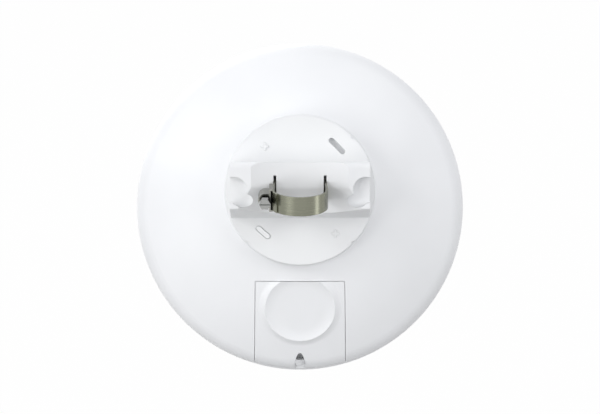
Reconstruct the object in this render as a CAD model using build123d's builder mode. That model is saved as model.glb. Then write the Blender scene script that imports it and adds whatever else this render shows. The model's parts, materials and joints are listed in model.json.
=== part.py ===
"""Round all-in-one dish antenna, seen here on its pole bracket with a worm-drive band clamp.

Millimetres, +Z up along the pole. The origin is the centre of the pole clamp, +Y is the way the
antenna points when level, and +X is to the right of someone standing behind it. The antenna is
drawn tipped down on its crossbar by tilt_at_rest.
"""

import os
from math import atan2, cos, degrees, radians, sin, sqrt, tan

from build123d import *

os.makedirs("parts", exist_ok=True)

# Pole and band clamp
pole_radius = 19.05
pole_clearance = 0.1
band_width = 14.0
band_thickness = 0.8
band_corner_radius = 1.0
band_lean = 5.0
screw_radius = 3.6
screw_length = 20.5
screw_head_radius = 4.2
screw_head_length = 5.0
screw_slot_width = 1.1
screw_slot_depth = 1.4
thread_pitch = 2.1
thread_depth = 0.6
thread_flank = 0.63
thread_crest = 0.52
thread_clearance = 0.25
housing_length = 13.0
housing_wall = 1.1
band_tail_angle = 38.0
housing_front = -6.0
housing_gap = 0.15
housing_opening_length = 6.0
housing_opening_height = 4.6
screw_to_band = 0.3
screw_tail = 10.5
screw_neck = 4.0

# Bracket: a round plate with a saddle bridge across it, rounded above and sloped below
tilt_at_rest = 18.0
plate_radius = 54.2
plate_thickness = 3.0
bridge_border = 4.2
bridge_width = 40.0
bridge_height = 27.0
bridge_wall = 4.0
bridge_draft = 6.5
bridge_crown = 4.5
bridge_edge = 1.0
crossbar_radius = 6.0
crossbar_height = 12.4
crossbar_rise = 2.5
trough_radius = 75.0
flank_slope = 18.0
band_window_above = 8.0
band_window_below = 12.0
band_window_behind = 9.4
band_clearance = 0.35
keyhole_depth = 7.0
keyhole_lobe_across = 14.2
keyhole_lobe_high = 10.0
keyhole_lobe_inset = 9.2
keyhole_lobe_y = -7.2
keyhole_arc_radius = 9.3
keyhole_arc_inset = 3.0
keyhole_arc_y = 0.2
slot_length = 15.2
slot_width = 4.0
slot_border = 12.5
slot_angle = 50.0
slot_turn = -45.0
slot_recess_gap = 0.3
peg_border = 13.6
peg_angles = (129, 309)
peg_span = 5.4
peg_bar = 1.8
notch_size = 2.4

# Bayonet between bracket and shell
spigot_radius = 20.0
spigot_wall = 3.0
bayonet_lug = 3.2
bayonet_lug_height = 2.4
bayonet_lug_angle = 40.0
bayonet_gap = 0.3
lock_ring_outer_radius = 31.5
lock_ring_height = 3.6
latch_border = 13.5
latch_angle = 229.0
latch_length = 12.0
latch_width = 3.4
latch_flange = 1.7
latch_flange_height = 0.9
latch_pocket_depth = 1.5
peg_height = 0.8
window_clearance = 0.6
tunnel_margin_angle = 15.0
pocket_inset = 14.5
pocket_length = 20.0
pocket_height = 9.0
latch_rise = 0.8
latch_foot_length = 5.0
latch_foot_drop = 1.0
groove_depth = 1.9
ring_screw_bite = 4.0
turn_travel = 30.0

# Shell, radome and rim
dish_radius = 122.5
rim_corner_height = -4.5
dome_apex = 42.0
shell_wall = 2.5
rim_fillet = 18.0
split_height = -6.0
radome_edge = -18.0
radome_apex = -26.0
radome_fillet = 8.0
radome_wall = 2.4
hub_offset = 13.2
boss_border = 1.2
boss_bevel = 0.8
plate_stand = 8.0
roof_gap = 0.3
roof_wall = 2.5
roof_border = 5.2
seal_section = 1.8
tongue_height = 3.0

# Reflector and feed
reflector_margin = 12.5
reflector_clearance = 0.3
reflector_sheet = 0.8
reflector_flange = 3.0
feed_hole_radius = 13.0
horn_length = 12.0
horn_wall = 1.6
horn_flange_radius = 20.0
horn_flange_thickness = 1.6
splash_radius = 17.0
splash_thickness = 1.5
splash_height = -15.0
cone_wall = 1.5
probe_radius = 1.2
probe_reach = 5.0
splash_crown = 2.5
cone_seat = 1.0

# Circuit board and its parts
board_drop = 10.6
board_thickness = 1.6
board_border = 7.0
board_tab_half_width = 22.0
board_tab_inset = 9.0
standoff_border = 6.0
standoff_radius = 3.4
jack_width = 16.0
jack_height = 13.2
jack_length = 21.0
jack_set_back = 1.5
jack_mouth_width = 12.0
jack_mouth_height = 7.0
jack_mouth_depth = 14.0
contact_count = 8
contact_pitch = 1.02
contact_size = 0.5
contact_length = 8.0
shield_width = 34.0
shield_length = 30.0
shield_height = 3.6
shield_wall = 0.4
shield_y = 8.0
chip_side = 14.0
chip_height = 1.6
jack_gap = 0.3
pad_side = 20.0
button_head_radius = 2.6
button_head_length = 1.2
button_length = 6.5
grommet_inset = 1.0
grommet_gap = 0.1
switch_side = 6.0
switch_height = 4.0
button_x = 17.5
button_radius = 1.6
button_travel = 0.8
button_clearance = 0.2

# Cable bay and its door
door_drop = 11.9
door_top_half_width = 32.7
door_foot_half_width = 34.0
door_foot_height = 4.0
door_corner_radius = 0.8
door_thickness = 2.2
door_gap = 0.3
door_travel = 15.0
ledge_width = 4.5
bay_cover = 5.1
bay_rim_wall = 9.5
bay_floor_rise = 0.2
bay_floor_foot = 5.4
tray_wall = 2.0
cable_radius = 2.6
grommet_radius = 3.8
grommet_length = 4.2
scoop_drop = 20.3
scoop_radius = 25.5
scoop_crest = 0.4
scoop_lip = 0.6
scoop_depth = 1.0
scoop_wall_run = 8.5
scoop_cove_run = 7.6
scoop_cove_fall = 2.5
scoop_cove_sag = 0.6

# Fasteners
screw_m3_radius = 1.5
screw_m3_head_radius = 2.75
screw_m3_head_height = 2.0
board_screw_bite = 6.0
flange_screw_bite = 5.0
cross_recess_span = 3.6
cross_recess = 0.7

# How far a cut runs past the face it opens
cut_margin = 1.0

# Sizes that follow from the ones above
bridge_length = 2 * (plate_radius - bridge_border)
slot_reach = plate_radius - slot_border
peg_reach = plate_radius - peg_border
latch_reach = plate_radius - latch_border
boss_radius = plate_radius + boss_border
pocket_radius = plate_radius - roof_border
board_radius = pocket_radius - board_border
standoff_reach = board_radius - standoff_border
plate_top = dome_apex + plate_stand
roof_top = plate_top - plate_thickness - roof_gap
roof_inside = roof_top - roof_wall
board_back = roof_inside - board_drop
board_front = board_back - board_thickness
jack_bottom = board_front - jack_height
reflector_radius = dish_radius - reflector_margin
reflector_depth = jack_bottom - reflector_clearance
bay_floor_top = jack_bottom + bay_floor_rise
door_top = hub_offset - boss_radius - door_drop
bay_top = door_top + bay_cover
bay_foot = bay_rim_wall - dish_radius
bay_floor_slope = degrees(atan2(bay_floor_top - bay_floor_foot, bay_top - bay_foot))
jack_face = bay_top + jack_set_back
board_tab_end = jack_face + board_tab_inset
scoop_y = door_top - scoop_drop

# The dome's radius meets its apex and runs tangent into the rounded rim
rim_corner_reach = dish_radius - rim_fillet
rim_corner_drop = dome_apex - rim_corner_height
rim_corner_square = rim_corner_reach**2 + rim_corner_drop**2 - rim_fillet**2
dome_radius = rim_corner_square / (2 * (rim_corner_drop - rim_fillet))

# The three planes everything is drawn on
across = Vector(1, 0, 0)
back = Vector(0, -cos(radians(tilt_at_rest)), sin(radians(tilt_at_rest)))
upward = Vector(0, sin(radians(tilt_at_rest)), cos(radians(tilt_at_rest)))
crossbar_centre = Vector(0, pole_radius + pole_clearance + crossbar_radius, 0)
hub_origin = crossbar_centre - back * crossbar_height - upward * crossbar_rise
dish_origin = hub_origin - back * plate_top - upward * hub_offset
hub = Plane(origin=hub_origin, x_dir=across, z_dir=back)
dish = Plane(origin=dish_origin, x_dir=across, z_dir=back)
dish_side = Plane(origin=dish_origin, x_dir=upward, z_dir=across)
hub_side = Plane(origin=hub_origin, x_dir=upward, z_dir=across)
dish_axis = Axis(dish_origin, back)
hub_axis = Axis(hub_origin, back)
hub_on_dish = (0, hub_offset)


def polar(reach, angle):
    """Point at a distance and an angle in degrees."""
    return (reach * cos(radians(angle)), reach * sin(radians(angle)))


slot_place = Location(polar(slot_reach, slot_angle) + (0,), (0, 0, slot_turn))


def dome_height(reach, drop=0.0):
    """Height of the dome's outer face, less drop, at a distance from the dish's axis."""
    return dome_apex - dome_radius + sqrt((dome_radius - drop) ** 2 - reach**2)


def dome_solid(drop, foot):
    """The dome and its rounded rim as one solid down to foot, drop inside the outer face."""
    rim = dish_radius - drop
    dome = dome_radius - drop
    corner = rim_fillet - drop
    centre_height = dome_apex - dome_radius
    corner_rise = sqrt((dome - corner) ** 2 - (rim - corner) ** 2)
    tangent_angle = atan2(corner_rise, rim - corner)
    corner_height = centre_height + corner_rise
    tangent = (dome * cos(tangent_angle), centre_height + dome * sin(tangent_angle))
    middle_angle = (tangent_angle + radians(90)) / 2
    dome_middle = (dome * cos(middle_angle), centre_height + dome * sin(middle_angle))
    corner_middle = (
        rim - corner + corner * cos(tangent_angle / 2),
        corner_height + corner * sin(tangent_angle / 2),
    )
    with BuildPart() as solid:
        with BuildSketch(dish_side):
            with BuildLine():
                Polyline((0, dome_apex - drop), (0, foot), (rim, foot), (rim, corner_height))
                ThreePointArc((rim, corner_height), corner_middle, tangent)
                ThreePointArc(tangent, dome_middle, (0, dome_apex - drop))
            make_face()
        revolve(axis=dish_axis)
    return solid.part


def screw_set(name, plane, points, length, head_up=True):
    """Pan-head screws: each shank runs back from the plane and each head stands on its near side."""
    side = 1 if head_up else -1
    with BuildPart() as screws:
        with BuildSketch(plane):
            with Locations(*points):
                Circle(screw_m3_head_radius)
        extrude(amount=side * screw_m3_head_height)
        with BuildSketch(plane):
            with Locations(*points):
                Circle(screw_m3_radius)
        extrude(amount=-side * length)
        with BuildSketch(plane.offset(side * screw_m3_head_height)):
            with Locations(*points):
                Rectangle(cross_recess_span, cross_recess)
                Rectangle(cross_recess, cross_recess_span)
        extrude(amount=-side * screw_m3_head_height / 2, mode=Mode.SUBTRACT)
    screws.part.label = name
    export_step(screws.part, f"parts/{name}.step")
    return screws.part


# --- back shell -----------------------------------------------------------------------------
boss_base = dome_height(boss_radius + hub_offset, shell_wall)
well_floor = roof_top - lock_ring_height - bayonet_lug_height - 2 * bayonet_gap
standoff_points = [
    (standoff_reach * cos(radians(angle)), hub_offset + standoff_reach * sin(radians(angle)))
    for angle in (45, 135, 225, 315)
]
board_screw_length = board_thickness + board_screw_bite
flange_screw_length = reflector_sheet + flange_screw_bite
ring_screw_reach = (spigot_radius + bayonet_lug + bayonet_gap + lock_ring_outer_radius) / 2
flange_screw_reach = reflector_radius + standoff_radius + bayonet_gap
rim_boss_reach = flange_screw_reach + standoff_radius - rim_corner_reach
rim_boss_top = rim_corner_height + sqrt((rim_fillet - shell_wall / 2) ** 2 - rim_boss_reach**2)
flange_screw_points = [
    (flange_screw_reach * cos(radians(angle)), flange_screw_reach * sin(radians(angle)))
    for angle in range(0, 360, 60)
]
ring_screw_points = [
    (ring_screw_reach * cos(radians(angle)), hub_offset + ring_screw_reach * sin(radians(angle)))
    for angle in (0, 90, 180, 270)
]
button_height = (board_front + board_front - switch_height) / 2
dish_side_at_button = Plane(origin=dish_origin, x_dir=across, z_dir=-upward)
outer_dome = dome_solid(0, split_height)
inner_dome = dome_solid(shell_wall, split_height)
door_depth_dome = dome_solid(door_thickness + door_gap / 2, split_height)
door_inner_dome = dome_solid(door_thickness, split_height)


def door_outline(plane, grow):
    """Door shape: a panel that widens a little towards its foot, which wraps round the rim."""
    with BuildSketch(plane) as outline:
        with BuildLine():
            Polyline(
                (-door_top_half_width - grow, door_top + grow),
                (door_top_half_width + grow, door_top + grow),
                (door_foot_half_width + grow, -dish_radius - shell_wall),
                (-door_foot_half_width - grow, -dish_radius - shell_wall),
                close=True,
            )
        make_face()
        fillet(outline.vertices().sort_by(Axis.Y)[-2:], radius=door_corner_radius + grow)
    return outline.sketch


tray_foot = bay_floor_foot - tray_wall - (dish_radius + bay_foot) * tan(radians(bay_floor_slope))
with BuildPart() as tray:
    with BuildSketch(dish_side.offset(-door_foot_half_width - tray_wall)):
        with BuildLine():
            Polyline(
                (bay_top + tray_wall, bay_floor_top - tray_wall),
                (-dish_radius, tray_foot),
                (-dish_radius, dome_apex),
                (bay_top + tray_wall, dome_apex),
                close=True,
            )
        make_face()
    extrude(amount=2 * (door_foot_half_width + tray_wall))
    add(outer_dome, mode=Mode.INTERSECT)

with BuildPart() as bay:
    bay_half_width = door_top_half_width - ledge_width
    with BuildSketch(dish_side.offset(-bay_half_width)):
        with BuildLine():
            Polyline(
                (bay_top, bay_floor_top),
                (bay_foot, bay_floor_foot),
                (bay_foot, dome_apex),
                (door_top - ledge_width, dome_apex),
                (door_top - ledge_width, dome_height(-door_top, shell_wall)),
                (bay_top, dome_height(-bay_top, shell_wall)),
                close=True,
            )
        make_face()
    extrude(amount=2 * bay_half_width)

with BuildPart() as door_pocket:
    add(door_outline(dish.offset(door_foot_height - door_gap), door_gap))
    extrude(amount=2 * dome_apex, dir=back)
    add(door_depth_dome, mode=Mode.SUBTRACT)

cable_rise = bay_floor_foot + grommet_radius
cable_mouth = dish.from_local_coords((0, bay_foot + cut_margin, cable_rise))
cable_direction = -upward * cos(radians(bay_floor_slope)) - back * sin(radians(bay_floor_slope))
cable_plane = Plane(origin=cable_mouth, x_dir=across, z_dir=cable_direction)

groove_end_angle = degrees(atan2(latch_foot_length / 2 + 2 * bayonet_gap, latch_reach))
groove_start = latch_angle - groove_end_angle
groove_end = latch_angle + groove_end_angle + turn_travel
groove_fan = [
    (boss_radius * cos(radians(angle)), hub_offset + boss_radius * sin(radians(angle)))
    for angle in (groove_start, (groove_start + groove_end) / 2, groove_end)
]

with BuildPart() as back_shell:
    add(outer_dome)
    with BuildSketch(dish.offset(boss_base)):
        with Locations(hub_on_dish):
            Circle(boss_radius)
    extrude(amount=roof_top - boss_base)
    boss_edge = back_shell.faces().sort_by(Axis(dish_origin, back))[-1].edges()
    chamfer(boss_edge, length=boss_bevel)
    add(inner_dome, mode=Mode.SUBTRACT)
    with BuildSketch(dish.offset(boss_base)):
        with Locations(hub_on_dish):
            Circle(pocket_radius)
    extrude(amount=roof_inside - boss_base, mode=Mode.SUBTRACT)
    with BuildSketch(dish.offset(well_floor - roof_wall)):
        with Locations(hub_on_dish):
            Circle(lock_ring_outer_radius + bayonet_gap + roof_wall)
    extrude(amount=roof_top - well_floor + roof_wall)
    with BuildSketch(dish.offset(roof_top - lock_ring_height)):
        with Locations(hub_on_dish):
            Circle(lock_ring_outer_radius + bayonet_gap)
    extrude(amount=lock_ring_height, mode=Mode.SUBTRACT)
    with BuildSketch(dish.offset(well_floor)):
        with Locations(hub_on_dish):
            Circle(spigot_radius + bayonet_lug + bayonet_gap)
    extrude(amount=roof_top - well_floor, mode=Mode.SUBTRACT)
    with BuildSketch(dish.offset(board_back)):
        with Locations(*standoff_points):
            Circle(standoff_radius)
    extrude(amount=roof_inside - board_back)
    with BuildSketch(dish.offset(reflector_sheet)):
        with Locations(*flange_screw_points):
            Circle(standoff_radius)
    extrude(amount=rim_boss_top - reflector_sheet)
    add(tray.part)
    add(door_pocket.part, mode=Mode.SUBTRACT)
    add(bay.part, mode=Mode.SUBTRACT)
    with BuildSketch(cable_plane):
        Circle(grommet_radius)
    extrude(amount=dish_radius, mode=Mode.SUBTRACT)
    with BuildSketch(dish_side.offset(-jack_width / 2 - jack_gap)):
        with Locations((bay_top, board_front - jack_height / 2)):
            Rectangle(2 * tray_wall + cut_margin, jack_height + 2 * jack_gap)
    extrude(amount=jack_width + 2 * jack_gap, mode=Mode.SUBTRACT)
    with BuildSketch(dish.offset(board_back)):
        with Locations(*standoff_points):
            Circle(screw_m3_radius)
    extrude(amount=board_screw_length - board_thickness, mode=Mode.SUBTRACT)
    with BuildSketch(dish.offset(reflector_sheet)):
        with Locations(*flange_screw_points):
            Circle(screw_m3_radius)
    extrude(amount=flange_screw_length - reflector_sheet, mode=Mode.SUBTRACT)
    with BuildSketch(dish.offset(roof_top - lock_ring_height)):
        with Locations(*ring_screw_points):
            Circle(screw_m3_radius)
    extrude(amount=-ring_screw_bite, mode=Mode.SUBTRACT)
    with BuildSketch(dish.offset(roof_top - groove_depth)):
        with Locations(hub_on_dish):
            Circle(latch_reach + latch_width / 2 + bayonet_gap)
            Circle(latch_reach - latch_width / 2 - bayonet_gap, mode=Mode.SUBTRACT)
        with BuildLine():
            Polyline(hub_on_dish, *groove_fan, close=True)
        make_face(mode=Mode.INTERSECT)
    extrude(amount=groove_depth, mode=Mode.SUBTRACT)
    with BuildSketch(hub.offset(roof_top - plate_top)):
        with Locations(slot_place):
            SlotOverall(slot_length + 2 * slot_recess_gap, slot_width + 2 * slot_recess_gap)
    extrude(amount=-groove_depth, mode=Mode.SUBTRACT)
    with BuildSketch(dish_side_at_button.offset(-bay_top - tray_wall - cut_margin)):
        with Locations((button_x, button_height)):
            Circle(button_radius + button_clearance)
    extrude(amount=tray_wall + 2 * cut_margin, mode=Mode.SUBTRACT)
back_shell.part.label = "back_shell"
export_step(back_shell.part, "parts/back_shell.step")

# --- radome and its seal --------------------------------------------------------------------
tongue_radius = dish_radius - shell_wall - bayonet_gap
bulge_reach = dish_radius - radome_fillet
bulge_radius = (bulge_reach**2 + (radome_edge - radome_apex) ** 2) / (2 * (radome_edge - radome_apex))


def bulge_height(reach):
    """Height of the radome's front face at a distance from the dish's axis."""
    return radome_apex + bulge_radius - sqrt(bulge_radius**2 - reach**2)


def radome_solid(drop, rear):
    """Shallow front cap as one solid from rear to its bulged face, drop inside the outer face."""
    rim = dish_radius - drop
    turn = radome_fillet - drop
    turn_height = radome_edge + radome_fillet
    diagonal = turn * cos(radians(45))
    with BuildPart() as solid:
        with BuildSketch(dish_side):
            with BuildLine():
                Polyline((0, radome_apex + drop), (0, rear), (rim, rear), (rim, turn_height))
                ThreePointArc(
                    (rim, turn_height),
                    (rim - turn + diagonal, turn_height - diagonal),
                    (rim - turn, turn_height - turn),
                )
                ThreePointArc(
                    (rim - turn, turn_height - turn),
                    (bulge_reach / 2, bulge_height(bulge_reach / 2) + drop),
                    (0, radome_apex + drop),
                )
            make_face()
        revolve(axis=dish_axis)
    return solid.part


with BuildPart() as radome:
    add(radome_solid(0, split_height))
    add(radome_solid(radome_wall, split_height), mode=Mode.SUBTRACT)
    with BuildSketch(dish.offset(split_height)):
        Circle(tongue_radius)
        Circle(tongue_radius - radome_wall, mode=Mode.SUBTRACT)
    extrude(amount=tongue_height)
    with BuildSketch(dish.offset(split_height)):
        Circle(dish_radius - radome_wall)
        Circle(tongue_radius - radome_wall, mode=Mode.SUBTRACT)
    extrude(amount=-radome_wall)
radome.part.label = "radome"
export_step(radome.part, "parts/radome.step")

with BuildPart() as rim_seal:
    with BuildSketch(dish.offset(split_height + tongue_height)):
        Circle(tongue_radius - bayonet_gap)
        Circle(tongue_radius - bayonet_gap - seal_section, mode=Mode.SUBTRACT)
    extrude(amount=seal_section)
rim_seal.part.label = "rim_seal"
export_step(rim_seal.part, "parts/rim_seal.step")

# --- reflector and feed ---------------------------------------------------------------------
curve_radius = (reflector_radius**2 + reflector_depth**2) / (2 * reflector_depth)


def reflector_height(reach):
    """Height of the reflector's front face at a distance from the dish's axis."""
    return reflector_depth - curve_radius + sqrt(curve_radius**2 - reach**2)


horn_back = reflector_height(feed_hole_radius) + reflector_sheet
flange_screw_ring = (feed_hole_radius + horn_flange_radius) / 2 + horn_wall
horn_screw_points = [
    (flange_screw_ring * cos(radians(angle)), flange_screw_ring * sin(radians(angle)))
    for angle in (45, 135, 225, 315)
]

with BuildPart() as reflector:
    with BuildSketch(dish_side):
        with BuildLine():
            ThreePointArc(
                (feed_hole_radius, reflector_height(feed_hole_radius)),
                (reflector_radius / 2, reflector_height(reflector_radius / 2)),
                (reflector_radius, 0),
            )
            Polyline(
                (reflector_radius, 0),
                (reflector_radius + reflector_flange, 0),
                (reflector_radius + reflector_flange, reflector_sheet),
                (reflector_radius, reflector_sheet),
            )
            ThreePointArc(
                (reflector_radius, reflector_sheet),
                (reflector_radius / 2, reflector_height(reflector_radius / 2) + reflector_sheet),
                (feed_hole_radius, reflector_height(feed_hole_radius) + reflector_sheet),
            )
            Line(
                (feed_hole_radius, reflector_height(feed_hole_radius) + reflector_sheet),
                (feed_hole_radius, reflector_height(feed_hole_radius)),
            )
        make_face()
    revolve(axis=dish_axis)
    with BuildSketch(dish):
        with Locations(*flange_screw_points):
            Circle(standoff_radius + reflector_flange / 2)
    extrude(amount=reflector_sheet)
    with BuildSketch(dish.offset(-cut_margin)):
        with Locations(*flange_screw_points):
            Circle(screw_m3_radius)
        with Locations(*horn_screw_points):
            Circle(screw_m3_radius)
    extrude(amount=reflector_depth + 2 * cut_margin, mode=Mode.SUBTRACT)
reflector.part.label = "reflector"
export_step(reflector.part, "parts/reflector.step")

with BuildPart() as feed_horn:
    with BuildSketch(dish.offset(horn_back)):
        Circle(horn_flange_radius + horn_wall)
    extrude(amount=horn_flange_thickness)
    with BuildSketch(dish.offset(horn_back - horn_length)):
        Circle(feed_hole_radius - bayonet_gap)
    extrude(amount=horn_length)
    with BuildSketch(dish.offset(horn_back - horn_length)):
        Circle(feed_hole_radius - bayonet_gap - horn_wall)
    extrude(amount=horn_length, mode=Mode.SUBTRACT)
    with BuildSketch(dish.offset(horn_back - cut_margin)):
        with Locations(*horn_screw_points):
            Circle(screw_m3_radius)
        Circle(probe_radius + bayonet_gap)
    extrude(amount=horn_flange_thickness + 2 * cut_margin, mode=Mode.SUBTRACT)
feed_horn.part.label = "feed_horn"
export_step(feed_horn.part, "parts/feed_horn.step")

with BuildPart() as splash_plate:
    with BuildSketch(dish_side):
        with BuildLine():
            Polyline(
                (0, splash_height + splash_thickness + splash_crown),
                (0, splash_height),
                (splash_radius, splash_height),
                (splash_radius, splash_height + splash_thickness),
                (0, splash_height + splash_thickness + splash_crown),
            )
        make_face()
    revolve(axis=dish_axis)
splash_plate.part.label = "splash_plate"
export_step(splash_plate.part, "parts/splash_plate.step")

horn_mouth = horn_back - horn_length
with BuildPart() as feed_support:
    with BuildSketch(dish_side):
        with BuildLine():
            Polyline(
                (feed_hole_radius - bayonet_gap, horn_mouth),
                (splash_radius, splash_height + splash_thickness),
                (splash_radius - cone_wall, splash_height + splash_thickness + cone_seat),
                (feed_hole_radius - bayonet_gap - cone_wall, horn_mouth),
                close=True,
            )
        make_face()
    revolve(axis=dish_axis)
    add(splash_plate.part, mode=Mode.SUBTRACT)
feed_support.part.label = "feed_support"
export_step(feed_support.part, "parts/feed_support.step")

with BuildPart() as feed_probe:
    with BuildSketch(dish.offset(horn_back - probe_reach)):
        Circle(probe_radius)
    extrude(amount=board_front - horn_back + probe_reach)
feed_probe.part.label = "feed_probe"
export_step(feed_probe.part, "parts/feed_probe.step")

# --- circuit board --------------------------------------------------------------------------
contact_points = [((index - (contact_count - 1) / 2) * contact_pitch) for index in range(contact_count)]
jack_back = jack_face + jack_length
jack_top = board_front
jack_mid_height = (jack_top + jack_bottom) / 2

with BuildPart() as main_board:
    with BuildSketch(dish.offset(board_front)):
        with Locations(hub_on_dish):
            Circle(board_radius)
        with Locations((0, board_tab_end / 2)):
            Rectangle(2 * board_tab_half_width, -board_tab_end)
        with Locations(*standoff_points):
            Circle(screw_m3_radius, mode=Mode.SUBTRACT)
    extrude(amount=board_thickness)
main_board.part.label = "main_board"
export_step(main_board.part, "parts/main_board.step")

with BuildPart() as rf_shield:
    with BuildSketch(dish.offset(board_back)):
        with Locations((0, shield_y)):
            Rectangle(shield_width, shield_length)
    extrude(amount=shield_height)
    with BuildSketch(dish.offset(board_back)):
        with Locations((0, shield_y)):
            Rectangle(shield_width - 2 * shield_wall, shield_length - 2 * shield_wall)
    extrude(amount=shield_height - shield_wall, mode=Mode.SUBTRACT)
rf_shield.part.label = "rf_shield"
export_step(rf_shield.part, "parts/rf_shield.step")

with BuildPart() as radio_chip:
    with BuildSketch(dish.offset(board_back)):
        with Locations((0, shield_y)):
            Rectangle(chip_side, chip_side)
    extrude(amount=chip_height)
radio_chip.part.label = "radio_chip"
export_step(radio_chip.part, "parts/radio_chip.step")

with BuildPart() as ethernet_jack:
    with BuildSketch(dish_side.offset(-jack_width / 2)):
        with Locations(((jack_face + jack_back) / 2, jack_mid_height)):
            Rectangle(jack_length, jack_height)
    extrude(amount=jack_width)
    with BuildSketch(dish_side.offset(-jack_mouth_width / 2)):
        with Locations((jack_face + jack_mouth_depth / 2, jack_mid_height)):
            Rectangle(jack_mouth_depth, jack_mouth_height)
    extrude(amount=jack_mouth_width, mode=Mode.SUBTRACT)
ethernet_jack.part.label = "ethernet_jack"
export_step(ethernet_jack.part, "parts/ethernet_jack.step")

with BuildPart() as jack_contacts:
    contact_plane = dish.offset(jack_mid_height + jack_mouth_height / 2 - contact_size)
    with BuildSketch(contact_plane):
        with Locations(*[(x, jack_face + jack_mouth_depth - contact_length / 2) for x in contact_points]):
            Rectangle(contact_size, contact_length)
    extrude(amount=contact_size)
jack_contacts.part.label = "jack_contacts"
export_step(jack_contacts.part, "parts/jack_contacts.step")

screw_set(
    "board_screws", dish.offset(board_front), standoff_points, board_screw_length, head_up=False
)
screw_set(
    "reflector_screws", dish, flange_screw_points, flange_screw_length, head_up=False
)
screw_set(
    "feed_screws",
    dish.offset(horn_back + horn_flange_thickness),
    horn_screw_points,
    horn_flange_thickness + reflector_sheet,
)

with BuildPart() as thermal_pad:
    with BuildSketch(dish.offset(board_back + shield_height)):
        with Locations((0, shield_y)):
            Rectangle(pad_side, pad_side)
    extrude(amount=well_floor - roof_wall - board_back - shield_height)
thermal_pad.part.label = "thermal_pad"
export_step(thermal_pad.part, "parts/thermal_pad.step")

button_plane = dish_side_at_button.offset(-bay_top - tray_wall - button_head_length - bayonet_gap)
with BuildPart() as reset_button:
    with BuildSketch(button_plane):
        with Locations((button_x, button_height)):
            Circle(button_head_radius)
    extrude(amount=button_head_length)
    with BuildSketch(button_plane):
        with Locations((button_x, button_height)):
            Circle(button_radius)
    extrude(amount=button_length)
reset_button.part.label = "reset_button"
export_step(reset_button.part, "parts/reset_button.step")

switch_face = -(-bay_top - tray_wall - button_head_length - bayonet_gap) + button_travel + bayonet_gap
with BuildPart() as reset_switch:
    with BuildSketch(dish.offset(board_front)):
        with Locations((button_x, switch_face + switch_side / 2)):
            Rectangle(switch_side, switch_side)
    extrude(amount=-switch_height)
reset_switch.part.label = "reset_switch"
export_step(reset_switch.part, "parts/reset_switch.step")

with BuildPart() as cable_grommet:
    with BuildSketch(cable_plane.offset(grommet_inset)):
        Circle(grommet_radius - grommet_gap)
        Circle(cable_radius, mode=Mode.SUBTRACT)
    extrude(amount=grommet_length)
cable_grommet.part.label = "cable_grommet"
export_step(cable_grommet.part, "parts/cable_grommet.step")

# --- bayonet ring ---------------------------------------------------------------------------
ring_inner_radius = spigot_radius + bayonet_lug + bayonet_gap


def lug_sectors(plane, inner, outer, height):
    """Four lugs of bayonet_lug_angle around the hub, between two radii, standing on the plane."""
    with BuildPart() as lugs:
        for middle in (0, 90, 180, 270):
            first = middle - bayonet_lug_angle / 2
            last = middle + bayonet_lug_angle / 2
            with BuildSketch(plane):
                with BuildLine():
                    Line(polar(inner, first), polar(outer, first))
                    ThreePointArc(polar(outer, first), polar(outer, middle), polar(outer, last))
                    Line(polar(outer, last), polar(inner, last))
                    ThreePointArc(polar(inner, last), polar(inner, middle), polar(inner, first))
                make_face()
            extrude(amount=height)
    return lugs.part


ring_seat = hub.offset(roof_top - lock_ring_height - plate_top)
with BuildPart() as lock_ring:
    with BuildSketch(ring_seat):
        Circle(lock_ring_outer_radius)
        Circle(ring_inner_radius, mode=Mode.SUBTRACT)
    extrude(amount=lock_ring_height)
    add(
        lug_sectors(
            ring_seat,
            spigot_radius + bayonet_gap,
            ring_inner_radius + bayonet_gap,
            lock_ring_height,
        )
    )
    with BuildSketch(dish.offset(roof_top)):
        with Locations(*ring_screw_points):
            Circle(screw_m3_head_radius + bayonet_gap)
    extrude(amount=-screw_m3_head_height, mode=Mode.SUBTRACT)
    with BuildSketch(dish.offset(roof_top)):
        with Locations(*ring_screw_points):
            Circle(screw_m3_radius)
    extrude(amount=-lock_ring_height, mode=Mode.SUBTRACT)
lock_ring.part.label = "lock_ring"
export_step(lock_ring.part, "parts/lock_ring.step")

screw_set(
    "ring_screws",
    dish.offset(roof_top - screw_m3_head_height),
    ring_screw_points,
    lock_ring_height - screw_m3_head_height + ring_screw_bite,
)

# --- bracket --------------------------------------------------------------------------------
strip_inside = crossbar_centre.Y + crossbar_radius + band_clearance
lean = radians(band_lean)


def strap_x(y, grow):
    """Reach of the band's leaning side at y, for a face grow outside the band's inner one."""
    return (pole_radius + grow - y * sin(lean)) / cos(lean)


corner_y = strip_inside - band_corner_radius
corner_x = strap_x(corner_y, -band_corner_radius)
flank = radians(flank_slope)
bar_top = crossbar_height + crossbar_radius
shoulder_y = crossbar_rise - crossbar_radius * sin(flank)
shoulder_z = crossbar_height + crossbar_radius * cos(flank)
shoulder_middle = (
    crossbar_rise - crossbar_radius * sin(flank / 2),
    crossbar_height + crossbar_radius * cos(flank / 2),
)
cut_reach = bridge_width / 2 + cut_margin
cut_top = bridge_height + cut_margin
foot_z = shoulder_z - (cut_reach + shoulder_y) * tan(flank)
strap_radius = crossbar_radius + band_clearance + band_thickness
tunnel_radius = sqrt(strap_radius**2 + (band_width / 2) ** 2) + band_clearance
tunnel_top = crossbar_height - tunnel_radius * cos(radians(90 - tunnel_margin_angle))
tunnel_half_length = strap_x(crossbar_centre.Y, band_thickness + window_clearance)
crossbar_plane = Plane(origin=crossbar_centre, x_dir=across, z_dir=-upward)


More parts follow.
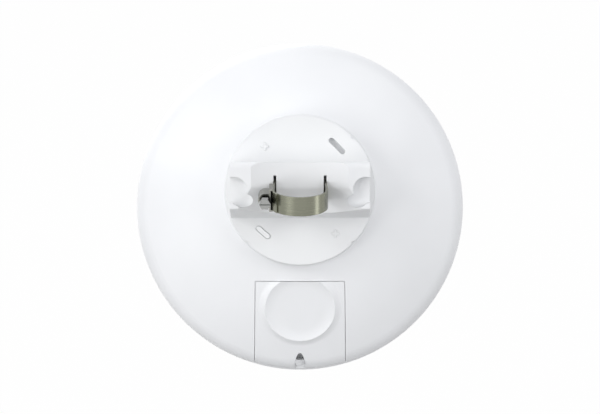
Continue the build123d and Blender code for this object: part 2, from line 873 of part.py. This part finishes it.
def window(side, start, end):
    """Slot for one strap, a clearance wider than it, from start to end along the hub's axis."""
    with BuildSketch(crossbar_plane) as shape:
        with BuildLine():
            Polyline(
                (side * strap_x(crossbar_centre.Y - start, -window_clearance), start),
                (side * strap_x(crossbar_centre.Y - start, band_thickness + window_clearance), start),
                (side * strap_x(crossbar_centre.Y - end, band_thickness + window_clearance), end),
                (side * strap_x(crossbar_centre.Y - end, -window_clearance), end),
                close=True,
            )
        make_face()
    return shape.sketch



with BuildPart() as trough:
    with BuildSketch(hub_side):
        with BuildLine():
            ThreePointArc(
                (shoulder_y, shoulder_z),
                shoulder_middle,
                (crossbar_rise, bar_top),
            )
            Polyline(
                (crossbar_rise, bar_top),
                (cut_reach, bar_top),
                (cut_reach, cut_top),
                (-cut_reach, cut_top),
                (-cut_reach, foot_z),
                (shoulder_y, shoulder_z),
            )
        make_face()
    revolve(axis=Axis(hub_origin + back * (bar_top + trough_radius), upward))


def keyhole(side):
    """Recess in one pad: a round lobe running into a larger one that opens at the end."""
    with BuildSketch(hub.offset(bridge_height - keyhole_depth)) as shape:
        with Locations((side * (bridge_length / 2 - keyhole_lobe_inset), keyhole_lobe_y)):
            Ellipse(keyhole_lobe_across / 2, keyhole_lobe_high / 2)
        with Locations((side * (bridge_length / 2 - keyhole_arc_inset), keyhole_arc_y)):
            Circle(keyhole_arc_radius)
    return shape.sketch


latch_place = Location(polar(latch_reach, latch_angle) + (0,), (0, 0, latch_angle - 90))
pocket_border = latch_flange + bayonet_gap
with BuildPart() as mount_bracket:
    with BuildSketch(hub.offset(-plate_thickness)):
        Circle(plate_radius)
        with Locations(*[polar(plate_radius, angle) for angle in (45, 135, 225, 315)]):
            Circle(notch_size / 2, mode=Mode.SUBTRACT)
    extrude(amount=plate_thickness)
    with BuildSketch(hub_side.offset(-bridge_length / 2)):
        with BuildLine():
            Polyline(
                (-bridge_width / 2, 0),
                (bridge_width / 2, 0),
                (bridge_width / 2, bridge_height),
                (bridge_draft - bridge_width / 2, bridge_height),
                close=True,
            )
        make_face()
    extrude(amount=bridge_length)
    top_edges = mount_bracket.faces().sort_by(hub_axis)[-1].edges().filter_by(Axis.X)
    top_edges = top_edges.sort_by(Axis(hub_origin, upward))
    fillet(top_edges[-1], radius=bridge_crown)
    lower_edges = mount_bracket.faces().sort_by(hub_axis)[-1].edges().filter_by(Axis.X)
    fillet(lower_edges.sort_by(Axis(hub_origin, upward))[0], radius=bridge_edge)
    add(trough.part, mode=Mode.SUBTRACT)
    for side in (-1, 1):
        add(keyhole(side))
        extrude(amount=bridge_height, dir=back, mode=Mode.SUBTRACT)
        with BuildSketch(hub.offset(-plate_thickness)):
            with Locations((side * (bridge_length / 2 - pocket_inset), 0)):
                Rectangle(pocket_length, bridge_width - 2 * bridge_wall)
                Rectangle(pocket_length, bridge_wall, mode=Mode.SUBTRACT)
        extrude(amount=plate_thickness + pocket_height, mode=Mode.SUBTRACT)
        add(window(side, 0, bridge_height))
        extrude(amount=band_window_below, dir=-upward, mode=Mode.SUBTRACT)
        add(window(side, 0, bridge_height))
        extrude(amount=band_window_above, dir=upward, mode=Mode.SUBTRACT)
        add(window(side, -tunnel_radius, 0))
        extrude(amount=band_window_behind, dir=-upward, mode=Mode.SUBTRACT)
        add(window(side, -tunnel_radius, 0))
        extrude(amount=band_window_behind, dir=upward, mode=Mode.SUBTRACT)
    with BuildSketch(hub_side.offset(-tunnel_half_length)):
        with Locations((crossbar_rise, crossbar_height)):
            Circle(tunnel_radius)
            Circle(crossbar_radius, mode=Mode.SUBTRACT)
        with Locations((crossbar_rise, tunnel_top - tunnel_radius)):
            Rectangle(4 * tunnel_radius, 2 * tunnel_radius, mode=Mode.INTERSECT)
    extrude(amount=2 * tunnel_half_length, mode=Mode.SUBTRACT)
    with BuildSketch(hub):
        with Locations(slot_place):
            SlotOverall(slot_length, slot_width)
    extrude(amount=-plate_thickness, mode=Mode.SUBTRACT)
    with BuildSketch(hub):
        with Locations(latch_place):
            SlotOverall(latch_length + 2 * bayonet_gap, latch_width + 2 * bayonet_gap)
    extrude(amount=-plate_thickness, mode=Mode.SUBTRACT)
    with BuildSketch(hub.offset(-plate_thickness)):
        with Locations(latch_place):
            SlotOverall(latch_length + 2 * pocket_border, latch_width + 2 * pocket_border)
    extrude(amount=latch_pocket_depth, mode=Mode.SUBTRACT)
    with BuildSketch(hub):
        with Locations(*[polar(peg_reach, angle) for angle in peg_angles]):
            Rectangle(peg_span, peg_bar)
            Rectangle(peg_bar, peg_span)
    extrude(amount=peg_height)
    with BuildSketch(hub.offset(-plate_thickness)):
        Circle(spigot_radius)
        Circle(spigot_radius - spigot_wall, mode=Mode.SUBTRACT)
    extrude(amount=-(plate_top - plate_thickness - well_floor - bayonet_gap))
    add(
        lug_sectors(
            hub.offset(well_floor + bayonet_gap - plate_top),
            spigot_radius - spigot_wall / 2,
            spigot_radius + bayonet_lug,
            bayonet_lug_height,
        )
    )
mount_bracket.part.label = "mount_bracket"
export_step(mount_bracket.part, "parts/mount_bracket.step")

flange_foot = latch_pocket_depth - plate_thickness - latch_flange_height
with BuildPart() as lock_latch:
    with BuildSketch(hub.offset(latch_rise)):
        with Locations(latch_place):
            SlotOverall(latch_length, latch_width)
    extrude(amount=flange_foot - latch_rise)
    with BuildSketch(hub.offset(latch_pocket_depth - plate_thickness)):
        with Locations(latch_place):
            SlotOverall(latch_length + 2 * latch_flange, latch_width + 2 * latch_flange)
    extrude(amount=-latch_flange_height)
    with BuildSketch(hub.offset(flange_foot)):
        with Locations(latch_place):
            Rectangle(latch_foot_length, latch_width)
    extrude(amount=-plate_thickness - latch_foot_drop - flange_foot)
lock_latch.part.label = "lock_latch"
export_step(lock_latch.part, "parts/lock_latch.step")

# --- band clamp -----------------------------------------------------------------------------
band_foot = -band_width / 2
screw_x = -(pole_radius + 2 * band_thickness + screw_radius + screw_to_band)
housing_back = housing_front + housing_length
tail_end_angle = 180 + band_tail_angle


def band_outline(grow):
    """Loop of the band, grow outside its inner face: round in front, flat behind the crossbar."""
    side = pole_radius + grow
    corner = band_corner_radius + grow
    right_tangent = polar(side, band_lean)
    left_tangent = polar(side, 180 - band_lean)
    right_turn = (corner_x + corner * cos(lean), corner_y + corner * sin(lean))
    middle = radians(90 + band_lean) / 2
    right_bend = (corner_x + corner * cos(middle), corner_y + corner * sin(middle))
    with BuildSketch(Plane.XY.offset(band_foot)) as outline:
        with BuildLine():
            ThreePointArc(left_tangent, (0, -side), right_tangent)
            Line(right_tangent, right_turn)
            ThreePointArc(right_turn, right_bend, (corner_x, corner_y + corner))
            Line((corner_x, corner_y + corner), (-corner_x, corner_y + corner))
            ThreePointArc(
                (-corner_x, corner_y + corner),
                (-right_bend[0], right_bend[1]),
                (-right_turn[0], right_turn[1]),
            )
            Line((-right_turn[0], right_turn[1]), left_tangent)
        make_face()
    return outline.sketch


with BuildPart() as clamp_band:
    add(band_outline(band_thickness))
    extrude(amount=band_width)
    add(band_outline(0))
    extrude(amount=band_width, mode=Mode.SUBTRACT)
    tail_in = pole_radius + band_thickness
    tail_out = tail_in + band_thickness
    tail_middle = (180 + tail_end_angle) / 2
    with BuildSketch(Plane.XY.offset(band_foot)):
        with BuildLine():
            Polyline(
                polar(tail_in, 180 - band_lean),
                (-strap_x(housing_back, band_thickness), housing_back),
                (-strap_x(housing_back, 2 * band_thickness), housing_back),
                polar(tail_out, 180 - band_lean),
            )
            ThreePointArc(
                polar(tail_out, 180 - band_lean),
                polar(tail_out, tail_middle),
                polar(tail_out, tail_end_angle),
            )
            Line(polar(tail_out, tail_end_angle), polar(tail_in, tail_end_angle))
            ThreePointArc(
                polar(tail_in, tail_end_angle),
                polar(tail_in, tail_middle),
                polar(tail_in, 180 - band_lean),
            )
        make_face()
    extrude(amount=band_width)
clamp_band.part.label = "clamp_band"
export_step(clamp_band.part, "parts/clamp_band.step")

screw_bore = screw_radius + thread_clearance
cheek_inside = pole_radius + pole_clearance
with BuildPart() as clamp_housing:
    with BuildSketch(Plane.XZ.offset(-housing_back)):
        with Locations((-tail_out - housing_wall / 2, 0)):
            Rectangle(housing_wall, band_width)
        with Locations((-(tail_out + cheek_inside) / 2, 0)):
            Rectangle(tail_out - cheek_inside, band_width + 2 * housing_wall + 2 * housing_gap)
            Rectangle(tail_out - cheek_inside, band_width + 2 * housing_gap, mode=Mode.SUBTRACT)
        with Locations((-tail_out - housing_wall / 2, 0)):
            Rectangle(housing_wall, band_width + 2 * housing_wall + 2 * housing_gap)
        with Locations((screw_x, 0)):
            Circle(screw_bore + housing_wall)
        with Locations(((screw_x - tail_out) / 2, 0)):
            Rectangle(-screw_x - tail_out, 2 * (screw_bore + housing_wall))
        with Locations((screw_x, 0)):
            Circle(screw_bore, mode=Mode.SUBTRACT)
        with Locations((-tail_out + pole_radius / 2, 0)):
            Rectangle(pole_radius, band_width + 2 * housing_gap, mode=Mode.SUBTRACT)
    extrude(amount=housing_length)
    with BuildSketch(Plane.YZ.offset(screw_x)):
        with Locations(((housing_front + housing_back) / 2, 0)):
            Rectangle(housing_opening_length, housing_opening_height)
    extrude(amount=-screw_bore - housing_wall - cut_margin, mode=Mode.SUBTRACT)
clamp_housing.part.label = "clamp_housing"
export_step(clamp_housing.part, "parts/clamp_housing.step")

screw_plane = Plane(origin=(screw_x, screw_tail, 0), x_dir=(-1, 0, 0), z_dir=(0, 0, 1))
thread_turns = int((screw_length - screw_neck) / thread_pitch)
root_radius = screw_radius - thread_depth
with BuildPart() as clamp_screw:
    with BuildSketch(screw_plane):
        with BuildLine():
            thread = [(0, 0), (root_radius, 0)]
            for turn in range(thread_turns):
                thread.append((root_radius, turn * thread_pitch))
                thread.append((screw_radius, turn * thread_pitch + thread_flank))
                thread.append((screw_radius, turn * thread_pitch + thread_flank + thread_crest))
                thread.append((root_radius, turn * thread_pitch + 2 * thread_flank + thread_crest))
            thread = thread[:1] + thread[2:]
            thread.append((root_radius, screw_length))
            thread.append((0, screw_length))
            Polyline(*thread, close=True)
        make_face()
    revolve(axis=Axis((screw_x, screw_tail, 0), (0, 1, 0)))
    with BuildSketch(Plane.XZ.offset(screw_length - screw_tail)):
        with Locations((screw_x, 0)):
            RegularPolygon(screw_head_radius, 6)
    extrude(amount=screw_head_length)
    with BuildSketch(Plane.XZ.offset(screw_length - screw_tail + screw_head_length)):
        with Locations((screw_x, 0)):
            Rectangle(2 * screw_head_radius, screw_slot_width)
    extrude(amount=-screw_slot_depth, mode=Mode.SUBTRACT)
clamp_screw.part.label = "clamp_screw"
export_step(clamp_screw.part, "parts/clamp_screw.step")

# --- port door ------------------------------------------------------------------------------
door_slope = degrees(atan2(-scoop_y, sqrt(dome_radius**2 - scoop_y**2)))
scoop_origin = dish.from_local_coords((0, scoop_y, dome_height(-scoop_y)))
scoop_axis = back * cos(radians(door_slope)) - upward * sin(radians(door_slope))
scoop_side = Plane(origin=scoop_origin, x_dir=across, z_dir=across.cross(scoop_axis))
scoop_outer = scoop_radius + scoop_crest
cove_foot = (scoop_outer + scoop_cove_run, -scoop_cove_fall)
cove_middle = (
    scoop_outer + scoop_cove_run / 2 - scoop_cove_sag,
    (scoop_lip - scoop_cove_fall) / 2 - scoop_cove_sag,
)
mound_base = scoop_cove_fall + door_thickness / 2
with BuildPart() as mound:
    with BuildSketch(scoop_side):
        with BuildLine():
            Line((0, scoop_lip), (scoop_outer, scoop_lip))
            ThreePointArc((scoop_outer, scoop_lip), cove_middle, cove_foot)
            Polyline(cove_foot, (cove_foot[0], -mound_base), (0, -mound_base), (0, scoop_lip))
        make_face()
    revolve(axis=Axis(scoop_origin, scoop_axis))

floor_radius = scoop_radius - scoop_wall_run
with BuildPart() as scoop:
    with BuildSketch(scoop_side):
        with BuildLine():
            Line((0, -scoop_depth), (floor_radius, -scoop_depth))
            TangentArc((floor_radius, -scoop_depth), (scoop_radius, scoop_lip), tangent=(1, 0))
            Polyline(
                (scoop_radius, scoop_lip),
                (scoop_radius, scoop_lip + cut_margin),
                (0, scoop_lip + cut_margin),
                (0, -scoop_depth),
            )
        make_face()
    revolve(axis=Axis(scoop_origin, scoop_axis))

with BuildPart() as door_prism:
    add(door_outline(dish.offset(door_foot_height), 0))
    extrude(amount=2 * dome_apex, dir=back)

with BuildPart() as port_door:
    add(outer_dome)
    add(mound.part)
    add(door_inner_dome, mode=Mode.SUBTRACT)
    add(door_prism.part, mode=Mode.INTERSECT)
    add(scoop.part, mode=Mode.SUBTRACT)
    with BuildSketch(cable_plane.offset(-door_travel - cut_margin)):
        Circle(grommet_radius)
        with Locations((0, -grommet_radius)):
            Rectangle(2 * grommet_radius, 2 * grommet_radius)
    extrude(amount=dish_radius, mode=Mode.SUBTRACT)
port_door.part.label = "port_door"
export_step(port_door.part, "parts/port_door.step")
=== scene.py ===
"""Dressing of the pole-mounted round dish antenna: finishes, studio and camera.

Everything is in metres in the part's own frame: +Z up the pole, +Y the way the antenna points,
and the origin in the middle of the pole clamp.
"""

import json
from math import cos, radians, sin

import bmesh
import bpy
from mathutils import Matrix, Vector


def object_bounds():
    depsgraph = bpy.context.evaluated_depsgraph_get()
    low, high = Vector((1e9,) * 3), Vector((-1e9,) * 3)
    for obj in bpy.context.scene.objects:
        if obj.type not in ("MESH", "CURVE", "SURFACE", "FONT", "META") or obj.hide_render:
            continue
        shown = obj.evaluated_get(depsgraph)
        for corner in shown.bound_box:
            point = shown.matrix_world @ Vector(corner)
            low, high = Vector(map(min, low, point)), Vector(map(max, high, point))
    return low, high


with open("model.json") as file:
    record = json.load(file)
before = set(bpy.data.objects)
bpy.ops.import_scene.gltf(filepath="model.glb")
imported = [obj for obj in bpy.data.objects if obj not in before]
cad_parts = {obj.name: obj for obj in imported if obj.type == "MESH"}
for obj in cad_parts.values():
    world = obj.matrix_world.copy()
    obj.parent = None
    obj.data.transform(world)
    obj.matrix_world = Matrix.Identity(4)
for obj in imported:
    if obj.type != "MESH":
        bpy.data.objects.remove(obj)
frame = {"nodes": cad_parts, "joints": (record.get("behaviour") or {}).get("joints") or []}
cad_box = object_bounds()

MM = 0.001
joints = {joint["name"]: joint for joint in frame["joints"]}

# The dish's own directions: back out of its rear face, up along it, and across it
turn_joint = joints["turn"]
BACK = -Vector(turn_joint["axis"]).normalized()
ACROSS = Vector((1, 0, 0))
UP = BACK.cross(ACROSS)
HUB = Vector(turn_joint["pos_m"])
PLATE_TOP = 50.0
HUB_OFFSET = 13.2
DISH = HUB - BACK * PLATE_TOP * MM - UP * HUB_OFFSET * MM

# --- finishes -------------------------------------------------------------------------------


def linear(hex_colour):
    """sRGB hex to a linear RGBA colour."""
    channels = [int(hex_colour[i : i + 2], 16) / 255 for i in (1, 3, 5)]
    return tuple(c / 12.92 if c <= 0.04045 else ((c + 0.055) / 1.055) ** 2.4 for c in channels) + (1.0,)


def add_node(tree, kind, settings=None, values=None, links=None):
    """Adds a node, sets its properties and sockets, and links its inputs from other nodes' sockets."""
    node = tree.nodes.new(kind)
    for key, value in (settings or {}).items():
        setattr(node, key, value)
    for key, value in (values or {}).items():
        node.inputs[key].default_value = value
    for key, source in (links or {}).items():
        tree.links.new(source, node.inputs[key])
    return node


def new_material(name):
    material = bpy.data.materials.new(name)
    material.use_nodes = True
    tree = material.node_tree
    tree.nodes.clear()
    shader = add_node(tree, "ShaderNodeBsdfPrincipled")
    output = add_node(tree, "ShaderNodeOutputMaterial", links={"Surface": shader.outputs["BSDF"]})
    output.target = "ALL"
    return material, tree, shader


RAMP_START = 0.35
RAMP_END = 0.65


def two_tones(tree, factor, low, high):
    """Colour ramp between two hex colours, driven by a factor socket."""
    ramp = add_node(tree, "ShaderNodeValToRGB", links={"Fac": factor})
    ramp.color_ramp.elements[0].position = RAMP_START
    ramp.color_ramp.elements[0].color = linear(low)
    ramp.color_ramp.elements[1].position = RAMP_END
    ramp.color_ramp.elements[1].color = linear(high)
    return ramp.outputs["Color"]


def noise(tree, place, values):
    """Factor socket of a noise texture read at the given place."""
    return add_node(tree, "ShaderNodeTexNoise", values=values, links={"Vector": place}).outputs["Fac"]


def vary_roughness(tree, shader, factor, low, high):
    """Runs the shader's roughness between two values as the factor goes from 0 to 1."""
    satin = add_node(
        tree, "ShaderNodeMapRange", values={"To Min": low, "To Max": high}, links={"Value": factor}
    )
    tree.links.new(satin.outputs["Result"], shader.inputs["Roughness"])


def raise_surface(tree, shader, height, strength, depth_mm, normal=None):
    """Bumps the shader's surface by a height socket, on top of another normal if one is given."""
    links = {"Height": height}
    if normal is not None:
        links["Normal"] = normal
    bump = add_node(
        tree,
        "ShaderNodeBump",
        values={"Strength": strength, "Distance": depth_mm * MM},
        links=links,
    )
    tree.links.new(bump.outputs["Normal"], shader.inputs["Normal"])


MOULD_EDGE = 0.5
MOULD_EDGE_SAMPLES = 6
CLOUD_MM = 60
MOULD_GRAIN_MM = 1.1
MOULD_GRAIN_DEPTH_MM = 0.012
MOULD_GRAIN_STRENGTH = 0.35
ASA_IOR = 1.52


def moulded_asa(name, low, high, rough):
    """UV-stable ASA, injection moulded against a spark-eroded tool.

    The eye gets a soft even white with a faint satin sheen, a barely seen cloudiness where the
    melt cooled unevenly, and a fine even grain. The real grain of 0.1 mm is drawn coarser to show.
    Every edge catches the light as one rounded by half a millimetre does.
    """
    material, tree, shader = new_material(name)
    place = add_node(tree, "ShaderNodeTexCoord").outputs["Object"]
    cloud = noise(tree, place, {"Scale": 1 / (CLOUD_MM * MM), "Detail": 2.0, "Roughness": 0.4})
    grain = noise(tree, place, {"Scale": 1 / (MOULD_GRAIN_MM * MM), "Detail": 3.0})
    tree.links.new(two_tones(tree, cloud, low, high), shader.inputs["Base Color"])
    vary_roughness(tree, shader, grain, rough - 0.04, rough + 0.05)
    edge = add_node(
        tree,
        "ShaderNodeBevel",
        settings={"samples": MOULD_EDGE_SAMPLES},
        values={"Radius": MOULD_EDGE * MM},
    )
    raise_surface(
        tree, shader, grain, MOULD_GRAIN_STRENGTH, MOULD_GRAIN_DEPTH_MM, edge.outputs["Normal"]
    )
    shader.inputs["IOR"].default_value = ASA_IOR
    return material


LINE_STRETCH = 40
LINE_DEPTH_MM = 0.01
LINE_STRENGTH = 0.3


def rolled_stainless(name, low, high, rough, line_mm, along):
    """Stainless steel with a drawn or rolled finish.

    The eye gets a warm grey that darkens and lightens across a curve, streaked by fine lines
    along the direction of rolling. On the band the grey is darkened and tinted olive as a painted
    reflection of dim greenish surroundings. Along names the axes that the lines run in.
    """
    material, tree, shader = new_material(name)
    place = add_node(tree, "ShaderNodeTexCoord").outputs["Object"]
    fine = 1 / (line_mm * MM)
    drawn_out = 1 / (line_mm * LINE_STRETCH * MM)
    stretch = [drawn_out if axis in along else fine for axis in range(3)]
    mapping = add_node(tree, "ShaderNodeMapping", values={"Scale": stretch}, links={"Vector": place})
    lines = noise(tree, mapping.outputs["Vector"], {"Scale": 1.0, "Detail": 4.0})
    tree.links.new(two_tones(tree, lines, low, high), shader.inputs["Base Color"])
    vary_roughness(tree, shader, lines, rough - 0.05, rough + 0.08)
    raise_surface(tree, shader, lines, LINE_STRENGTH, LINE_DEPTH_MM)
    shader.inputs["Metallic"].default_value = 1.0
    return material


def plain_grained(name, low, high, rough, metallic=0.0, grain_mm=0.8, ior=None):
    """Small inner pieces: one base tone with a fine mottle, matt or metallic as the piece is."""
    material, tree, shader = new_material(name)
    place = add_node(tree, "ShaderNodeTexCoord").outputs["Object"]
    mottle = noise(tree, place, {"Scale": 1 / (grain_mm * MM), "Detail": 3.0})
    tree.links.new(two_tones(tree, mottle, low, high), shader.inputs["Base Color"])
    vary_roughness(tree, shader, mottle, rough - 0.05, rough + 0.05)
    shader.inputs["Metallic"].default_value = metallic
    if ior:
        shader.inputs["IOR"].default_value = ior
    return material


asa_shell = moulded_asa("asa_shell_moulded", "#EDEEEF", "#F1F2F3", 0.42)
asa_door = moulded_asa("asa_door_moulded", "#EDEEEF", "#F1F2F3", 0.42)
asa_radome = moulded_asa("asa_radome_moulded", "#ECEDEE", "#F0F1F2", 0.40)
asa_bracket = moulded_asa("asa_bracket_moulded", "#E8E9EA", "#EDEEEE", 0.45)
# Painted highlight: the latch's base colour is lifted whiter than the bracket's, so that its raised
# face reads as catching more light.
asa_latch_painted_highlight = moulded_asa("asa_latch_moulded", "#F0F1F1", "#F4F5F5", 0.40)
# Painted reflection: the band's dark olive-grey tones stand in for dim greenish surroundings mirrored
# in the steel; the streaks along it are its rolled finish.
band_steel_painted_reflection = rolled_stainless("stainless_band_rolled_painted_reflection", "#7E7F72", "#868778", 0.24, 0.35, (0, 1))
housing_steel = rolled_stainless("stainless_housing_pressed", "#82827C", "#A0A09A", 0.19, 0.5, (0, 1))
worm_steel = rolled_stainless("steel_worm_zinc_plated", "#8C8D8C", "#B0B1AF", 0.17, 0.4, (1,))
silicone = plain_grained("silicone_seal_moulded", "#3C3D3F", "#46474A", 0.6)
epdm = plain_grained("epdm_grommet_moulded", "#C9CACB", "#D3D4D5", 0.65)
spun_aluminium = plain_grained("aluminium_reflector_spun", "#C5C8CB", "#D5D8DA", 0.3, 1.0, 2.0)
turned_aluminium = plain_grained("aluminium_horn_turned", "#BFC1C4", "#CFD1D3", 0.28, 1.0)
polystyrene = plain_grained("polystyrene_support_moulded", "#DADBD6", "#E6E7E2", 0.25, 0.0, 1.5, 1.59)
bronze = plain_grained("bronze_contacts_gold_flashed", "#C9A04A", "#D9B463", 0.25, 1.0)
laminate = plain_grained("fr4_board_solder_mask", "#14502A", "#1B5E33", 0.35, 0.0, 1.2, 1.55)
tin_steel = plain_grained("steel_shield_tin_plated", "#B9BBBD", "#CACCCE", 0.3, 1.0)
epoxy = plain_grained("epoxy_chip_moulded", "#17181A", "#222326", 0.5)
gap_pad = plain_grained("silicone_gap_pad", "#8D97A6", "#9BA5B3", 0.7)
black_nylon = plain_grained("nylon_switch_moulded", "#1C1D1E", "#28292A", 0.5)
grey_nylon = plain_grained("nylon_button_moulded", "#595B5F", "#66686C", 0.5)
glass_nylon = plain_grained("nylon_ring_glass_filled", "#CFD0CE", "#DADBD9", 0.5)
screw_steel = plain_grained("stainless_screws_passivated", "#A5A6A6", "#B9BABA", 0.28, 1.0, 0.5)

node_finish = {
    "back_shell": asa_shell,
    "port_door": asa_door,
    "radome": asa_radome,
    "mount_bracket": asa_bracket,
    "lock_latch": asa_latch_painted_highlight,
    "rim_seal": silicone,
    "cable_grommet": epdm,
    "reflector": spun_aluminium,
    "feed_horn": turned_aluminium,
    "splash_plate": turned_aluminium,
    "feed_support": polystyrene,
    "feed_probe": bronze,
    "jack_contacts": bronze,
    "main_board": laminate,
    "rf_shield": tin_steel,
    "ethernet_jack": tin_steel,
    "radio_chip": epoxy,
    "thermal_pad": gap_pad,
    "reset_switch": black_nylon,
    "reset_button": grey_nylon,
    "lock_ring": glass_nylon,
    "ring_screws": screw_steel,
    "board_screws": screw_steel,
    "reflector_screws": screw_steel,
    "feed_screws": screw_steel,
    "clamp_band": band_steel_painted_reflection,
    "clamp_housing": housing_steel,
    "clamp_screw": worm_steel,
}
SMOOTH_BELOW = radians(28)
for node_name, finish in node_finish.items():
    mesh = frame["nodes"][node_name].data
    mesh.materials.clear()
    mesh.materials.append(finish)
    mesh.polygons.foreach_set("use_smooth", [True] * len(mesh.polygons))
    mesh.set_sharp_from_angle(angle=SMOOTH_BELOW)

# --- studio ---------------------------------------------------------------------------------
FLOOR_DROP = 0.45
FLOOR_SIZE = 8.0
FLOOR_WHITE_SHARE = 0.99
FLOOR_COLOUR = "#8C8C8C"
FLOOR_ROUGHNESS = 0.9
SKY_COLOUR = "#FAFBFF"
SKY_LOW = 0.6
SKY_HIGH = 0.84


def seen_ray(tree):
    """1 for rays that end in the picture: straight from the camera, off metal or through glass."""
    path = add_node(tree, "ShaderNodeLightPath")
    either = add_node(
        tree,
        "ShaderNodeMath",
        settings={"operation": "MAXIMUM"},
        links={0: path.outputs["Is Camera Ray"], 1: path.outputs["Is Glossy Ray"]},
    )
    seen = add_node(
        tree,
        "ShaderNodeMath",
        settings={"operation": "MAXIMUM"},
        links={0: either.outputs[0], 1: path.outputs["Is Transmission Ray"]},
    )
    return seen.outputs[0]


def build_world():
    world = bpy.data.worlds.new("studio")
    bpy.context.scene.world = world
    world.use_nodes = True
    tree = world.node_tree
    tree.nodes.clear()
    # A softbox sky: brightest straight overhead, falling off towards the horizon
    across = add_node(tree, "ShaderNodeTexCoord").outputs["Generated"]
    parts = add_node(tree, "ShaderNodeSeparateXYZ", links={"Vector": across})
    strength = add_node(
        tree,
        "ShaderNodeMapRange",
        values={"From Min": 0.0, "From Max": 1.0, "To Min": SKY_LOW, "To Max": SKY_HIGH},
        links={"Value": parts.outputs["Z"]},
    )
    fill = add_node(
        tree,
        "ShaderNodeBackground",
        values={"Color": linear(SKY_COLOUR)},
        links={"Strength": strength.outputs["Result"]},
    )
    white = add_node(tree, "ShaderNodeBackground", values={"Color": (1, 1, 1, 1), "Strength": 1.0})
    mix = add_node(
        tree,
        "ShaderNodeMixShader",
        links={0: seen_ray(tree), 1: fill.outputs[0], 2: white.outputs[0]},
    )
    add_node(tree, "ShaderNodeOutputWorld", links={"Surface": mix.outputs[0]})


def build_floor():
    low = cad_box[0][2]
    mesh = bpy.data.meshes.new("floor")
    maker = bmesh.new()
    bmesh.ops.create_grid(maker, x_segments=1, y_segments=1, size=FLOOR_SIZE / 2)
    maker.to_mesh(mesh)
    maker.free()
    floor = bpy.data.objects.new("floor", mesh)
    floor.location = (0, 0, low - FLOOR_DROP)
    bpy.context.scene.collection.objects.link(floor)
    material, tree, shader = new_material("floor_paper_white")
    shader.inputs["Base Color"].default_value = linear(FLOOR_COLOUR)
    shader.inputs["Roughness"].default_value = FLOOR_ROUGHNESS
    # Part of the floor's own shading stays in the mix, so the object's shadow still shows on it
    share = add_node(
        tree,
        "ShaderNodeMath",
        settings={"operation": "MULTIPLY"},
        values={1: FLOOR_WHITE_SHARE},
        links={0: seen_ray(tree)},
    )
    white = add_node(tree, "ShaderNodeEmission", values={"Color": (1, 1, 1, 1), "Strength": 1.0})
    mix = add_node(
        tree,
        "ShaderNodeMixShader",
        links={0: share.outputs[0], 1: shader.outputs[0], 2: white.outputs[0]},
    )
    output = next(node for node in tree.nodes if node.type == "OUTPUT_MATERIAL")
    tree.links.new(mix.outputs[0], output.inputs["Surface"])
    mesh.materials.append(material)


def area_lamp(name, place, aim, size, power):
    lamp = bpy.data.lights.new(name, "AREA")
    lamp.shape = "RECTANGLE"
    lamp.size, lamp.size_y = size
    lamp.energy = power
    holder = bpy.data.objects.new(name, lamp)
    holder.location = place
    holder.rotation_euler = (Vector(aim) - Vector(place)).to_track_quat("-Z", "Y").to_euler()
    bpy.context.scene.collection.objects.link(holder)


CLAMP = (0, 0, 0)

build_world()
build_floor()
# Name, place, what it points at, width and height in metres, power in watts
area_lamp("key_upper_left", (-1.6, -1.0, 1.2), DISH, (0.7, 0.7), 10)
area_lamp("fill_upper_right", (1.5, -1.3, 0.9), DISH, (1.2, 1.2), 9)
area_lamp("card_lower_left", (-1.4, -1.5, 0.0), DISH, (1.0, 1.0), 11)
area_lamp("card_low_front", (0, -1.9, -0.3), DISH, (2.0, 0.8), 1)
area_lamp("front_high", (-0.9, 2.0, 1.0), DISH, (1.4, 1.4), 30)
area_lamp("band_glint", (1.15, -0.33, -0.35), CLAMP, (0.3, 0.4), 0.8)

CAMERA_ELEVATION = 19.0
CAMERA_DISTANCE = 1.5
LENS_MM = 120.0
SENSOR_MM = 36.0
camera_data = bpy.data.cameras.new("camera")
camera_data.lens = LENS_MM
camera_data.sensor_width = SENSOR_MM
camera = bpy.data.objects.new("camera", camera_data)
rise = radians(CAMERA_ELEVATION)
camera.location = DISH + Vector((0, -cos(rise), sin(rise))) * CAMERA_DISTANCE
camera.rotation_euler = (DISH - camera.location).to_track_quat("-Z", "Y").to_euler()
bpy.context.scene.collection.objects.link(camera)
bpy.context.scene.camera = camera
bpy.context.scene.view_settings.view_transform = "Standard"
